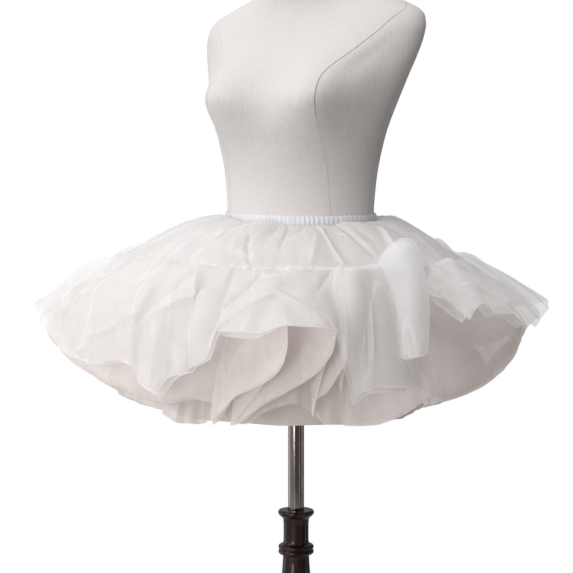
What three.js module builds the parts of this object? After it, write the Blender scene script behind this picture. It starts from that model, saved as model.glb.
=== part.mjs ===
// Tulle skirt on a dress form. A short petticoat of white organza: an elastic
// casing, a gathered yoke, three ruffles and a plain lining. It rests on a
// limbless form with a steel pole and a turned wooden stand.
// Millimetres, +Z up. The origin is under the middle of the base, on the pole's
// axis. The form faces -Y.
import * as THREE from "three";

// Heights, from the floor. The cloth's heights are given from the waist.
const WAIST = 1050;
const COLUMN_TOP = WAIST - 466;
const BASE_HEIGHT = 46;

// The waist of the form, and how far the fullest side of the ruffles is turned
// from the form's front.
const WAIST_HALF_WIDTH = 120;
const WAIST_HALF_DEPTH = 90;
const RUFFLE_TURN = 30;

const SEAM_GAP = 0.3;
const CASING_HEIGHT = 14;
const CASING_CLEARANCE = 0.7;
const CASING_THICKNESS = 2.4;
const ORGANZA = 1.2;
const LINING = 1;
const YOKE_REACH = 255;
const LINING_REACH = 196;
const LINING_DROP = 302;

const POLE_RADIUS = 12.5;
const SOCKET_CLEARANCE = 0.3;
const SOCKET_DEPTH = 90;

const radians = THREE.MathUtils.degToRad;
const lerp = THREE.MathUtils.lerp;
const ease = (x) => THREE.MathUtils.smoothstep(x, 0, 1);

// A closed body from rings of points, each ring with as many points as the
// next. With closed set, the last ring joins the first and the body is a tube
// bent round on itself; otherwise the end rings are filled from their middles.
function body(rings, closed) {
  const count = rings[0].length;
  const points = rings.flat();
  const index = [];
  const strips = closed ? rings.length : rings.length - 1;
  for (let r = 0; r < strips; r++) {
    const here = r * count;
    const next = ((r + 1) % rings.length) * count;
    for (let i = 0; i < count; i++) {
      const j = (i + 1) % count;
      index.push(here + i, here + j, next + j, here + i, next + j, next + i);
    }
  }
  if (!closed) {
    const ends = [rings[0], rings[rings.length - 1]];
    ends.forEach((ring, end) => {
      const middle = points.length;
      const sum = ring.reduce((s, p) => s.add(p), new THREE.Vector3());
      points.push(sum.divideScalar(count));
      const start = end ? (rings.length - 1) * count : 0;
      for (let i = 0; i < count; i++) {
        const j = (i + 1) % count;
        if (end) index.push(middle, start + i, start + j);
        else index.push(middle, start + j, start + i);
      }
    });
  }
  const geometry = new THREE.BufferGeometry().setFromPoints(points);
  geometry.setIndex(index);
  return geometry;
}

// A value read from a table at an angle round the skirt, eased between its rows.
function around(table, column, angle) {
  const turned = THREE.MathUtils.euclideanModulo(angle + 180, 360) - 180;
  let after = table.findIndex((row) => row.angle > turned);
  if (after < 0) after = 0;
  const next = table[after];
  const last = table[(after + table.length - 1) % table.length];
  const span = THREE.MathUtils.euclideanModulo(next.angle - last.angle, 360);
  const along = THREE.MathUtils.euclideanModulo(turned - last.angle, 360);
  return lerp(last[column], next[column], ease(along / span));
}

// A soft ridge: 1 on its crest, 0 from one width away.
function ridge(angle, crest, width) {
  const away = THREE.MathUtils.euclideanModulo(angle - crest + 180, 360) - 180;
  const share = Math.min(1, Math.abs(away) / width);
  return 0.5 + 0.5 * Math.cos(Math.PI * share);
}

// A point of the cloth. Angles are in degrees from the ruffles' fullest side,
// counted to the right of someone who looks at that side.
function place(angle, radius, height) {
  const a = radians(angle + RUFFLE_TURN);
  const x = radius * Math.sin(a);
  const y = -radius * Math.cos(a);
  return new THREE.Vector3(x, y, WAIST + height);
}

// How far to either side a surface is sampled for its slope: a share of its fall,
// and degrees round it.
const FALL_STEP = 0.02;
const ROUND_STEP = 0.8;

// A tube of cloth of one thickness. surface(angle, v) gives its outer face from
// the top edge, v = 0, to the hem, v = 1, and the inner face lies straight in.
function cloth(surface, columns, rows, thickness) {
  const outer = [];
  const inner = [];
  for (const v of rows) {
    const face = [];
    const back = [];
    for (let i = 0; i < columns; i++) {
      const angle = (360 * i) / columns - 180;
      const point = surface(angle, v);
      const round = surface(angle + ROUND_STEP, v).sub(surface(angle - ROUND_STEP, v));
      const low = Math.max(0, v - FALL_STEP);
      const high = Math.min(1, v + FALL_STEP);
      const down = surface(angle, high).sub(surface(angle, low));
      const inward = round.cross(down).normalize();
      face.push(point);
      back.push(point.clone().addScaledVector(inward, thickness));
    }
    outer.push(face);
    inner.push(back);
  }
  return body([...inner, ...outer.reverse()], true);
}

// A point of a bent profile from the top edge to the hem, through one pull
// point between them.
function bend(from, pull, to, v) {
  const a = (1 - v) * (1 - v);
  const b = 2 * v * (1 - v);
  const c = v * v;
  return [
    a * from[0] + b * pull[0] + c * to[0],
    a * from[1] + b * pull[1] + c * to[1],
  ];
}

// The form: sections of its padded body from the hip to the neck, heights from
// the waist. back is how far a section's middle lies behind the pole's axis.
const FORM_SECTIONS = [
  { height: -186, width: 132, depth: 100, back: 0 },
  { height: -182, width: 148, depth: 114, back: 0 },
  { height: -120, width: 143, depth: 110, back: 0 },
  { height: -60, width: 129, depth: 98, back: 0 },
  { height: -18, width: 121, depth: 91, back: 0 },
  { height: 0, width: WAIST_HALF_WIDTH, depth: WAIST_HALF_DEPTH, back: 0 },
  { height: 30, width: 121, depth: 93, back: 0 },
  { height: 70, width: 125, depth: 99, back: 0 },
  { height: 105, width: 132, depth: 105, back: 0 },
  { height: 130, width: 139, depth: 109, back: 0 },
  { height: 150, width: 146, depth: 110, back: 2 },
  { height: 168, width: 153, depth: 109, back: 5 },
  { height: 186, width: 160, depth: 106, back: 9 },
  { height: 208, width: 169, depth: 100, back: 14 },
  { height: 235, width: 180, depth: 90, back: 22 },
  { height: 262, width: 188, depth: 78, back: 31 },
  { height: 285, width: 189, depth: 68, back: 38 },
  { height: 304, width: 178, depth: 62, back: 44 },
  { height: 320, width: 146, depth: 60, back: 48 },
  { height: 338, width: 104, depth: 58, back: 46 },
  { height: 358, width: 78, depth: 57, back: 38 },
  { height: 385, width: 62, depth: 56, back: 28 },
  { height: 430, width: 58, depth: 56, back: 22 },
  { height: 436, width: 50, depth: 48, back: 22 },
];
const FORM_SIDES = 40;
const BUST = { side: 80, height: 180, wide: 56, tall: 50, full: 45 };
const CUP_SPREAD = 0.35;

// The form sits a little off its pole and leans, and its left shoulder is set
// higher: the tilt starts above TILT_FROM and is full TILT_SPAN further up.
const FORM_ASIDE = 5;
const FORM_BEHIND = 3.5;
const FORM_LEAN = 0.012;
const LEAN_BACK = 0.5 * FORM_LEAN;
const SHOULDER_TILT = 0.032;
const TILT_FROM = 130;
const TILT_SPAN = 160;

// How far the form's padded front stands out at a place, for the two cups.
function bust(x, height) {
  const cup = (side) => {
    const across = (x - side) / BUST.wide;
    const up = (height - BUST.height) / BUST.tall;
    return Math.exp(-across * across - up * up);
  };
  return BUST.full * Math.min(1, cup(BUST.side) + cup(-BUST.side));
}

function formPoint(section, angle) {
  const x = section.width * Math.sin(angle);
  const y = -section.depth * Math.cos(angle);
  const front = Math.max(0, Math.cos(angle));
  const out = bust(x, section.height) * Math.sqrt(front);
  const spread = 1 + (CUP_SPREAD * out) / section.width;
  const tilt = ease((section.height - TILT_FROM) / TILT_SPAN);
  const raised = SHOULDER_TILT * x * tilt;
  return new THREE.Vector3(
    x * spread + FORM_ASIDE + FORM_LEAN * section.height,
    y - out + section.back + FORM_BEHIND + LEAN_BACK * section.height,
    WAIST + section.height + raised,
  );
}

// The form's radius at a height from the waist, in the direction of an angle of
// the cloth. It holds below the bust, where the sections are plain ovals.
function formRadius(angle, height) {
  const after = FORM_SECTIONS.findIndex((s) => s.height > height);
  const high = FORM_SECTIONS[after];
  const low = FORM_SECTIONS[after - 1];
  const t = (height - low.height) / (high.height - low.height);
  const width = lerp(low.width, high.width, t);
  const depth = lerp(low.depth, high.depth, t);
  const a = radians(angle + RUFFLE_TURN);
  const ray = [Math.sin(a) / width, -Math.cos(a) / depth];
  const aside = FORM_ASIDE + FORM_LEAN * height;
  const behind = FORM_BEHIND + LEAN_BACK * height;
  const middle = [aside / width, behind / depth];
  const square = ray[0] ** 2 + ray[1] ** 2;
  const along = ray[0] * middle[0] + ray[1] * middle[1];
  const rest = middle[0] ** 2 + middle[1] ** 2 - 1;
  return (along + Math.sqrt(along * along - square * rest)) / square;
}

function makeForm() {
  const rings = FORM_SECTIONS.map((section) =>
    Array.from({ length: FORM_SIDES }, (_, i) =>
      formPoint(section, (2 * Math.PI * i) / FORM_SIDES),
    ),
  );
  const socket = (height) =>
    Array.from({ length: FORM_SIDES }, (_, i) => {
      const a = (2 * Math.PI * i) / FORM_SIDES;
      const r = POLE_RADIUS + SOCKET_CLEARANCE;
      return new THREE.Vector3(r * Math.sin(a), -r * Math.cos(a), WAIST + height);
    });
  const bottom = FORM_SECTIONS[0].height;
  return body([socket(bottom + SOCKET_DEPTH), socket(bottom), ...rings], false);
}

// The stand: a turned column with a flange, a barrel and a double bead, on a
// stepped round base. Heights are from the floor.
const COLUMN_SIDES = 24;
const BASE_SIDES = 36;
const BASE_RADIUS = 165;
const COLUMN_PROFILE = [
  { radius: 24, height: BASE_HEIGHT + SEAM_GAP },
  { radius: 30, height: BASE_HEIGHT + 6 },
  { radius: 31, height: BASE_HEIGHT + 16 },
  { radius: 24, height: BASE_HEIGHT + 26 },
  { radius: 21, height: BASE_HEIGHT + 60 },
  { radius: 26, height: BASE_HEIGHT + 190 },
  { radius: 27, height: BASE_HEIGHT + 260 },
  { radius: 23, height: COLUMN_TOP - 110 },
  { radius: 20.5, height: COLUMN_TOP - 71 },
  { radius: 27, height: COLUMN_TOP - 69 },
  { radius: 28, height: COLUMN_TOP - 65.5 },
  { radius: 26, height: COLUMN_TOP - 62 },
  { radius: 28, height: COLUMN_TOP - 58.5 },
  { radius: 27, height: COLUMN_TOP - 55.5 },
  { radius: 20.5, height: COLUMN_TOP - 53 },
  { radius: 20.5, height: COLUMN_TOP - 12 },
  { radius: 26, height: COLUMN_TOP - 8 },
  { radius: 28, height: COLUMN_TOP - 6 },
  { radius: 28, height: COLUMN_TOP - 2 },
  { radius: 26, height: COLUMN_TOP },
  { radius: POLE_RADIUS + SOCKET_CLEARANCE, height: COLUMN_TOP },
  { radius: POLE_RADIUS + SOCKET_CLEARANCE, height: COLUMN_TOP - SOCKET_DEPTH },
];
const BASE_PROFILE = [
  { radius: BASE_RADIUS - 3, height: 0 },
  { radius: BASE_RADIUS, height: 3 },
  { radius: BASE_RADIUS, height: 14 },
  { radius: BASE_RADIUS - 7, height: 21 },
  { radius: BASE_RADIUS - 30, height: 24 },
  { radius: BASE_RADIUS - 75, height: 31 },
  { radius: BASE_RADIUS - 105, height: 39 },
  { radius: BASE_RADIUS - 118, height: BASE_HEIGHT },
];

function turned(profile, sides) {
  const ends = [profile[0], profile[profile.length - 1]].map((p) => p.height);
  const outline = [
    new THREE.Vector2(0, ends[0]),
    ...profile.map((p) => new THREE.Vector2(p.radius, p.height)),
    new THREE.Vector2(0, ends[1]),
  ];
  return new THREE.LatheGeometry(outline, sides).rotateX(Math.PI / 2);
}

function makePole() {
  const low = COLUMN_TOP - SOCKET_DEPTH + SEAM_GAP;
  const high = WAIST + FORM_SECTIONS[0].height + SOCKET_DEPTH - SEAM_GAP;
  const pole = new THREE.CylinderGeometry(POLE_RADIUS, POLE_RADIUS, high - low, 28);
  return pole.rotateX(Math.PI / 2).translate(0, 0, (low + high) / 2);
}

// The casing: a band of cloth gathered over elastic, round the form's waist.
const CASING_GATHERS = 44;
const GATHER_DEPTH = 1;
const CASING_EDGE = 0.8 * CASING_THICKNESS;

function makeCasing() {
  const columns = 2 * CASING_GATHERS;
  const section = [
    { out: 0, height: 0, share: 0 },
    { out: 0, height: -CASING_HEIGHT, share: 0 },
    { out: CASING_EDGE, height: -CASING_HEIGHT, share: 1 },
    { out: CASING_THICKNESS, height: -0.5 * CASING_HEIGHT, share: 1 },
    { out: CASING_EDGE, height: 0, share: 1 },
  ];
  const rings = section.map((corner) =>
    Array.from({ length: columns }, (_, i) => {
      const angle = (360 * i) / columns - 180;
      const gather = corner.share * GATHER_DEPTH * (i % 2);
      const radius = formRadius(angle, corner.height) + CASING_CLEARANCE;
      return place(angle, radius + corner.out + gather, corner.height);
    }),
  );
  return body(rings, true);
}

// The yoke: one gathered tier that puffs up from the casing, more at the sides,
// and falls to the seam that the outer ruffle hangs from.
const YOKE_GATHERS = 28;
const YOKE_GATHER_DEPTH = 2.6;
const YOKE_COLUMNS = 4 * YOKE_GATHERS;
const YOKE_ROWS = [0, 0.2, 0.55, 1];
const CASING_FACE = CASING_CLEARANCE + CASING_EDGE + GATHER_DEPTH;

// Its profile bends through two pull points. The first is this far out from the
// casing and rises by this much at the sides; the second is this far out, and
// above the seam.
const YOKE_PULL = { out: 14, sideRise: 27 };
const YOKE_LOW_PULL = { out: 78, above: 36 };

// The seam between yoke and outer ruffle, lower at the right and at the front.
const YOKE_SEAM = { drop: 63.5, lowerRight: 5.5, lowerFront: 5 };

function seamHeight(angle) {
  const a = radians(angle);
  const { drop, lowerRight, lowerFront } = YOKE_SEAM;
  return -drop - lowerRight * Math.sin(a) - lowerFront * Math.cos(a);
}

function yokeSurface(angle, v) {
  const a = radians(angle);
  const waist = formRadius(angle, -CASING_HEIGHT) + CASING_FACE + SEAM_GAP;
  const seam = seamHeight(angle);
  const pulls = [
    [waist, -CASING_HEIGHT],
    [waist + YOKE_PULL.out, -CASING_HEIGHT + YOKE_PULL.sideRise * Math.sin(a) ** 2],
    [waist + YOKE_LOW_PULL.out, seam + YOKE_LOW_PULL.above],
    [YOKE_REACH, seam],
  ];
  const shares = [(1 - v) ** 3, 3 * v * (1 - v) ** 2, 3 * v * v * (1 - v), v ** 3];
  const sum = (part) => shares.reduce((s, share, i) => s + share * pulls[i][part], 0);
  const wave = Math.cos(YOKE_GATHERS * a + 1.3 * Math.sin(3 * a));
  const gather = YOKE_GATHER_DEPTH * wave * Math.sin(Math.PI * v) ** 0.6;
  return place(angle, sum(0), sum(1) + gather);
}

// The hem of the outer ruffle: how far it reaches and how low it hangs.
const OUTER_HEM = [
  { angle: -180, reach: 338, height: -212 },
  { angle: -166, reach: 330, height: -238 },
  { angle: -152, reach: 346, height: -206 },
  { angle: -139, reach: 340, height: -226 },
  { angle: -124, reach: 366, height: -192 },
  { angle: -108, reach: 384, height: -164 },
  { angle: -90, reach: 393, height: -152 },
  { angle: -76, reach: 388, height: -172 },
  { angle: -66, reach: 374, height: -200 },
  { angle: -56, reach: 362, height: -216 },
  { angle: -49, reach: 356, height: -205 },
  { angle: -44, reach: 352, height: -214 },
  { angle: -38, reach: 344, height: -241 },
  { angle: -33, reach: 340, height: -219 },
  { angle: -23, reach: 336, height: -200 },
  { angle: -19, reach: 344, height: -149 },
  { angle: -10, reach: 348, height: -152 },
  { angle: -2, reach: 350, height: -142 },
  { angle: 7, reach: 346, height: -144 },
  { angle: 11, reach: 322, height: -176 },
  { angle: 16, reach: 318, height: -246 },
  { angle: 27, reach: 322, height: -242 },
  { angle: 30, reach: 334, height: -190 },
  { angle: 34, reach: 336, height: -184 },
  { angle: 39, reach: 316, height: -172 },
  { angle: 44, reach: 324, height: -170 },
  { angle: 54, reach: 352, height: -148 },
  { angle: 64, reach: 368, height: -152 },
  { angle: 70, reach: 370, height: -170 },
  { angle: 77, reach: 384, height: -150 },
  { angle: 90, reach: 389, height: -141 },
  { angle: 106, reach: 380, height: -156 },
  { angle: 122, reach: 362, height: -184 },
  { angle: 137, reach: 346, height: -216 },
  { angle: 150, reach: 352, height: -190 },
  { angle: 165, reach: 334, height: -230 },
];

// Its folds. crest is a fold's direction at the hem and lean how far its top
// lies from that, width is its half width, all in degrees; out is how far it
// stands out, top where it starts below the seam and rise how soon it is full.
const OUTER_FOLDS = [
  { crest: -171, lean: 3, width: 8, out: 22, top: 0, rise: 0.3 },
  { crest: -154, lean: -2, width: 7, out: 15, top: 0.2, rise: 0.4 },
  { crest: -140, lean: 3, width: 7, out: 24, top: 0, rise: 0.2 },
  { crest: -127, lean: 0, width: 6, out: 12, top: 0.2, rise: 0.4 },
  { crest: -113, lean: -3, width: 7, out: 14, top: 0.1, rise: 0.4 },
  { crest: -99, lean: 0, width: 6, out: 10, top: 0.2, rise: 0.4 },
  { crest: -86, lean: 0, width: 6, out: 9, top: 0.1, rise: 0.4 },
  { crest: -74, lean: 2, width: 6, out: 11, top: 0.1, rise: 0.4 },
  { crest: -61, lean: 3, width: 6, out: 12, top: 0.3, rise: 0.4 },
  { crest: -46, lean: 0, width: 9, out: 15, top: 0.1, rise: 0.3 },
  { crest: -31, lean: 2, width: 6, out: 9, top: 0.1, rise: 0.4 },
  { crest: -22, lean: -1, width: 5, out: 13, top: 0.2, rise: 0.4 },
  { crest: -4, lean: 0, width: 9, out: 8, top: 0.3, rise: 0.4 },
  { crest: 14, lean: 4, width: 6, out: 20, top: 0, rise: 0.12 },
  { crest: 24, lean: 1, width: 5, out: 8, top: 0.05, rise: 0.3 },
  { crest: 33, lean: 1, width: 6.5, out: 54, top: -0.03, rise: 0.1 },
  { crest: 42, lean: 1, width: 5, out: -12, top: 0.1, rise: 0.3 },
  { crest: 51, lean: -1, width: 6, out: 15, top: 0, rise: 0.3 },
  { crest: 65, lean: -4, width: 6, out: 12, top: 0.05, rise: 0.3 },
  { crest: 80, lean: 0, width: 6, out: 9, top: 0.2, rise: 0.4 },
  { crest: 92, lean: 0, width: 6, out: 8, top: 0.2, rise: 0.4 },
  { crest: 105, lean: 2, width: 6, out: 12, top: 0.1, rise: 0.3 },
  { crest: 118, lean: 0, width: 7, out: 16, top: 0.2, rise: 0.4 },
  { crest: 131, lean: -3, width: 7, out: 24, top: 0, rise: 0.2 },
  { crest: 146, lean: 0, width: 7, out: 14, top: 0.2, rise: 0.4 },
  { crest: 160, lean: 3, width: 7, out: 18, top: 0.05, rise: 0.3 },
  { crest: 175, lean: 0, width: 6, out: 12, top: 0.2, rise: 0.4 },
];
const FOLD_FADE = 0.3;
const OUTER_COLUMNS = 160;
const OUTER_ROWS = [0, 0.06, 0.15, 0.32, 0.55, 0.79, 1];

// A falling tier from a seam to its hem. Where it hangs deep, it stays out
// longer and then turns down; where it flares, it runs nearly straight. A pull
// gives the share of the way out and down at which the profile bends.
const FLARED_DROP = 80;
const DEEP_DROP = 170;
const FLARED_PULL = [0.55, 0.4];
const DEEP_PULL = [0.95, 0.12];

function fall(seam, hem, v) {
  const deep = ease((seam[1] - hem[1] - FLARED_DROP) / (DEEP_DROP - FLARED_DROP));
  const share = FLARED_PULL.map((flared, i) => lerp(flared, DEEP_PULL[i], deep));
  const pull = share.map((s, i) => lerp(seam[i], hem[i], s));
  return bend(seam, pull, hem, v);
}

// The angle at which a profile falls, from one point to one a little further on.
function steepness(point, next) {
  return Math.atan2(point[1] - next[1], next[0] - point[0]);
}

// Moves a profile point out of the cloth's face, between up and outward.
function raise(point, slope, out) {
  return [point[0] + out * Math.sin(slope), point[1] + out * Math.cos(slope)];
}

function outerSurface(angle, v) {
  const seam = [YOKE_REACH + 2 * SEAM_GAP, seamHeight(angle)];
  const hem = [around(OUTER_HEM, "reach", angle), around(OUTER_HEM, "height", angle)];
  const point = fall(seam, hem, v);
  const slope = steepness(point, fall(seam, hem, v + FALL_STEP));
  let out = 0;
  for (const fold of OUTER_FOLDS) {
    const grow = ease((v - fold.top) / fold.rise) * (1 - FOLD_FADE * v);
    const crest = fold.crest + fold.lean * (1 - v);
    out += fold.out * grow * ridge(angle, crest, fold.width);
  }
  const held = ease(v / OUTER_ROWS[1]);
  const [radius, height] = raise(point, slope, out * held);
  return place(angle, radius, height);
}

// The lining: a plain flared slip under the ruffles, to the lowest hem of all.
// Its flutes grow towards the hem. A flare below 1 opens it sooner.
const LINING_COLUMNS = 48;
const LINING_TOP = -CASING_HEIGHT - SEAM_GAP;
const LINING_FLARE = 0.75;
const FLUTES = 7;
const FLUTE_DEPTH = 4;
const FLUTE_START = 20;

// The seams of the two ruffles that are sewn round the lining.
const MIDDLE_SEAM = -96;
const INNER_SEAM = -168;
const downLining = (height) => (LINING_TOP - height) / (LINING_DROP + LINING_TOP);
const LINING_ROWS = [0, downLining(MIDDLE_SEAM), downLining(INNER_SEAM), 0.78, 1];

function liningSurface(angle, v) {
  const height = lerp(LINING_TOP, -LINING_DROP, v);
  const waist = formRadius(angle, LINING_TOP) + CASING_CLEARANCE + LINING;
  const flute = FLUTE_DEPTH * v * v * Math.cos(radians(FLUTES * angle + FLUTE_START));
  const radius = lerp(waist, LINING_REACH, Math.min(1, v) ** LINING_FLARE) + flute;
  return place(angle, radius, height);
}

// The radius of the lining's face at a height, for what is sewn on it.
function onLining(angle, height) {
  const point = liningSurface(angle, downLining(height));
  return Math.hypot(point.x, point.y);
}

// The hems of the two ruffles under it. At the front both rise from left to
// right in long petals, one behind the other.
const MIDDLE_HEM = [
  { angle: -180, reach: 296, height: -284 },
  { angle: -165, reach: 306, height: -262 },
  { angle: -150, reach: 306, height: -272 },
  { angle: -120, reach: 346, height: -234 },
  { angle: -90, reach: 388, height: -180 },
  { angle: -74, reach: 372, height: -212 },
  { angle: -60, reach: 352, height: -237 },
  { angle: -48, reach: 336, height: -256 },
  { angle: -39, reach: 312, height: -268 },
  { angle: -25, reach: 294, height: -262 },
  { angle: -22, reach: 304, height: -277 },
  { angle: -14, reach: 312, height: -244 },
  { angle: -6, reach: 318, height: -220 },
  { angle: -1, reach: 318, height: -176 },
  { angle: 8, reach: 304, height: -190 },
  { angle: 14, reach: 292, height: -262 },
  { angle: 26, reach: 292, height: -275 },
  { angle: 42, reach: 318, height: -262 },
  { angle: 57, reach: 330, height: -252 },
  { angle: 72, reach: 350, height: -216 },
  { angle: 82, reach: 352, height: -190 },
  { angle: 96, reach: 360, height: -190 },
  { angle: 122, reach: 340, height: -232 },
  { angle: 150, reach: 306, height: -274 },
  { angle: 165, reach: 302, height: -258 },
];
const MIDDLE = { seam: MIDDLE_SEAM, hem: MIDDLE_HEM, waves: 26, depth: 8 };
const MIDDLE_COLUMNS = 5 * MIDDLE.waves;
const MIDDLE_ROWS = [0, 0.3, 0.6, 0.85, 1];

const INNER_HEM = [
  { angle: -180, reach: 256, height: -292 },
  { angle: -135, reach: 274, height: -280 },
  { angle: -90, reach: 300, height: -246 },
  { angle: -45, reach: 276, height: -284 },
  { angle: -30, reach: 262, height: -291 },
  { angle: -17, reach: 276, height: -286 },
  { angle: -8, reach: 284, height: -258 },
  { angle: 0, reach: 286, height: -240 },
  { angle: 4, reach: 280, height: -250 },
  { angle: 10, reach: 278, height: -240 },
  { angle: 16, reach: 262, height: -282 },
  { angle: 45, reach: 274, height: -276 },
  { angle: 90, reach: 292, height: -246 },
  { angle: 135, reach: 272, height: -282 },
];
const INNER = { seam: INNER_SEAM, hem: INNER_HEM, waves: 28, depth: 7 };
const INNER_COLUMNS = 4 * INNER.waves;
const INNER_ROWS = [0, 0.4, 0.75, 1];

// How far a sewn ruffle's face stands off the lining at its seam.
const SEWN_OFF = SEAM_GAP + 0.6 * ORGANZA;
const SEWN_PULL = [0.8, 0.24];

// A ruffle sewn round the lining, gathered into waves that widen to its hem. The
// waves crowd and part by turns, and are not all as deep.
function sewnRuffle(ruffle, angle, v) {
  const seam = [onLining(angle, ruffle.seam) + SEWN_OFF, ruffle.seam];
  const hem = [around(ruffle.hem, "reach", angle), around(ruffle.hem, "height", angle)];
  const pull = SEWN_PULL.map((share, i) => lerp(seam[i], hem[i], share));
  const point = bend(seam, pull, hem, v);
  const slope = steepness(point, bend(seam, pull, hem, v + FALL_STEP));
  const a = radians(angle);
  const uneven = 0.75 + 0.25 * Math.sin(5 * a + 1) * Math.cos(2 * a);
  const crowding = 0.9 * Math.sin(2 * a) + 0.6 * Math.sin(5 * a);
  const wave = uneven * Math.cos(ruffle.waves * a + crowding);
  const [radius, height] = raise(point, slope, ruffle.depth * wave * v ** 1.5);
  return place(angle, radius, height);
}

const middleSurface = (angle, v) => sewnRuffle(MIDDLE, angle, v);
const innerSurface = (angle, v) => sewnRuffle(INNER, angle, v);

const organza = { color: 0xf1eeec, roughness: 0.75, metalness: 0 };
const slip = { color: 0xcfc7c4, roughness: 0.85, metalness: 0 };
const linen = { color: 0xd9d4cd, roughness: 0.9, metalness: 0 };
const steel = { color: 0xb9b6b2, roughness: 0.25, metalness: 1 };
const wood = { color: 0x2c1a16, roughness: 0.35, metalness: 0 };

const group = new THREE.Group();

function add(name, geometry, finish) {
  const mesh = new THREE.Mesh(geometry, new THREE.MeshStandardMaterial(finish));
  mesh.name = name;
  group.add(mesh);
}

add("stand_base", turned(BASE_PROFILE, BASE_SIDES), wood);
add("stand_column", turned(COLUMN_PROFILE, COLUMN_SIDES), wood);
add("stand_pole", makePole(), steel);
add("form_body", makeForm(), linen);
add("waistband", makeCasing(), organza);
add("lining", cloth(liningSurface, LINING_COLUMNS, LINING_ROWS, LINING), slip);
add("inner_ruffle", cloth(innerSurface, INNER_COLUMNS, INNER_ROWS, ORGANZA), organza);
add("middle_ruffle", cloth(middleSurface, MIDDLE_COLUMNS, MIDDLE_ROWS, ORGANZA), organza);
add("yoke", cloth(yokeSurface, YOKE_COLUMNS, YOKE_ROWS, ORGANZA), organza);
add("outer_ruffle", cloth(outerSurface, OUTER_COLUMNS, OUTER_ROWS, ORGANZA), organza);

export default group;
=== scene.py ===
# Tulle skirt on a dress form: a short white organza petticoat on a limbless
# linen form, which stands on a steel pole and a turned wooden pedestal.
# Sizes are in millimetres where they are named, and MM turns them to metres.
import math

import bpy
import numpy as np
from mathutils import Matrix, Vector


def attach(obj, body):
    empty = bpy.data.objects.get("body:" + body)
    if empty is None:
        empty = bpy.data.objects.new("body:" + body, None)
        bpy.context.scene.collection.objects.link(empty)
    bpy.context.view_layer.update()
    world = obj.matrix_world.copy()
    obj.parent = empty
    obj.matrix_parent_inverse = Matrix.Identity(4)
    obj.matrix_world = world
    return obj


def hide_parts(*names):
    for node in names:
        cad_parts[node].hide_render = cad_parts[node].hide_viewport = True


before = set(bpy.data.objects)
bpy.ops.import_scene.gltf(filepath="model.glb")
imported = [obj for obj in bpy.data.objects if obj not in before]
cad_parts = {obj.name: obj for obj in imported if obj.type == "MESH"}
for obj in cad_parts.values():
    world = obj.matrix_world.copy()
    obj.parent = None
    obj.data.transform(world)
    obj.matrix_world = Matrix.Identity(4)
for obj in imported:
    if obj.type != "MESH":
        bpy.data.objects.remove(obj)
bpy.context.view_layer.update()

# Stand base
# A plain round foot, turned from one blank of wood with a stepped rim, stained
# almost black and polished. The column is screwed to its middle from below.
MM = 0.001
WAIST = 1050
FOOT_RADIUS = 165
FOOT_HEIGHT = 46


class Wire:
    """One output in a material. Arithmetic on it adds Math nodes."""

    def __init__(self, finish, socket):
        self.finish = finish
        self.socket = socket

    def math(self, operation, *values):
        return self.finish.add("ShaderNodeMath", {"operation": operation}, dict(enumerate(values)))

    def __add__(self, other):
        return self.math("ADD", self, other)

    def __sub__(self, other):
        return self.math("SUBTRACT", self, other)

    def __rsub__(self, other):
        return self.math("SUBTRACT", other, self)

    def __mul__(self, other):
        return self.math("MULTIPLY", self, other)

    def clamped(self, low, high):
        """0 at low, 1 at high, eased between them."""
        settings = {"interpolation_type": "SMOOTHSTEP"}
        return self.finish.add("ShaderNodeMapRange", settings, {0: self, 1: low, 2: high})

    __radd__ = __add__
    __rmul__ = __mul__


class Finish:
    """The nodes of a material, or of the world, while they are put together."""

    def __init__(self, block):
        self.block = block
        block.use_nodes = True
        self.tree = block.node_tree
        self.tree.nodes.clear()

    def add(self, kind, settings=None, sockets=None, output=0):
        """Adds a node with its settings first and then its sockets' values or wires."""
        node = self.tree.nodes.new(kind)
        for key, value in (settings or {}).items():
            setattr(node, key, value)
        for key, value in (sockets or {}).items():
            if isinstance(value, Wire):
                self.tree.links.new(value.socket, node.inputs[key])
            elif value is not None:
                node.inputs[key].default_value = value
        return Wire(self, node.outputs[output])

    def place(self, scale=(1, 1, 1), across=False):
        """Where a point lies: on the cloth in metres when across, else in space."""
        kind = "UV" if across else "Object"
        point = self.add("ShaderNodeTexCoord", output=kind)
        return self.add("ShaderNodeMapping", None, {"Vector": point, "Scale": scale})

    def noise(self, point, scale, detail=3, rough=0.55):
        sockets = {"Vector": point, "Scale": scale, "Detail": detail, "Roughness": rough}
        return self.add("ShaderNodeTexNoise", None, sockets)

    def blend(self, share, low, high):
        """A colour between two others."""
        low = low if isinstance(low, Wire) else (*low, 1)
        high = high if isinstance(high, Wire) else (*high, 1)
        sockets = {0: share, 6: low, 7: high}
        return self.add("ShaderNodeMix", {"data_type": "RGBA"}, sockets, output=2)

    def bump(self, height, distance, strength=1):
        sockets = {"Height": height, "Distance": distance, "Strength": strength}
        return self.add("ShaderNodeBump", None, sockets)

    def skin(self, sockets):
        return self.add("ShaderNodeBsdfPrincipled", None, sockets)

    def close(self, shader, end="ShaderNodeOutputMaterial"):
        node = self.tree.nodes.new(end)
        self.tree.links.new(shader.socket, node.inputs["Surface"])
        return self.block


def new_finish(name):
    return Finish(bpy.data.materials.new(name))


def put(name, data):
    """An object in the scene."""
    thing = bpy.data.objects.new(name, data)
    bpy.context.scene.collection.objects.link(thing)
    return thing


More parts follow.
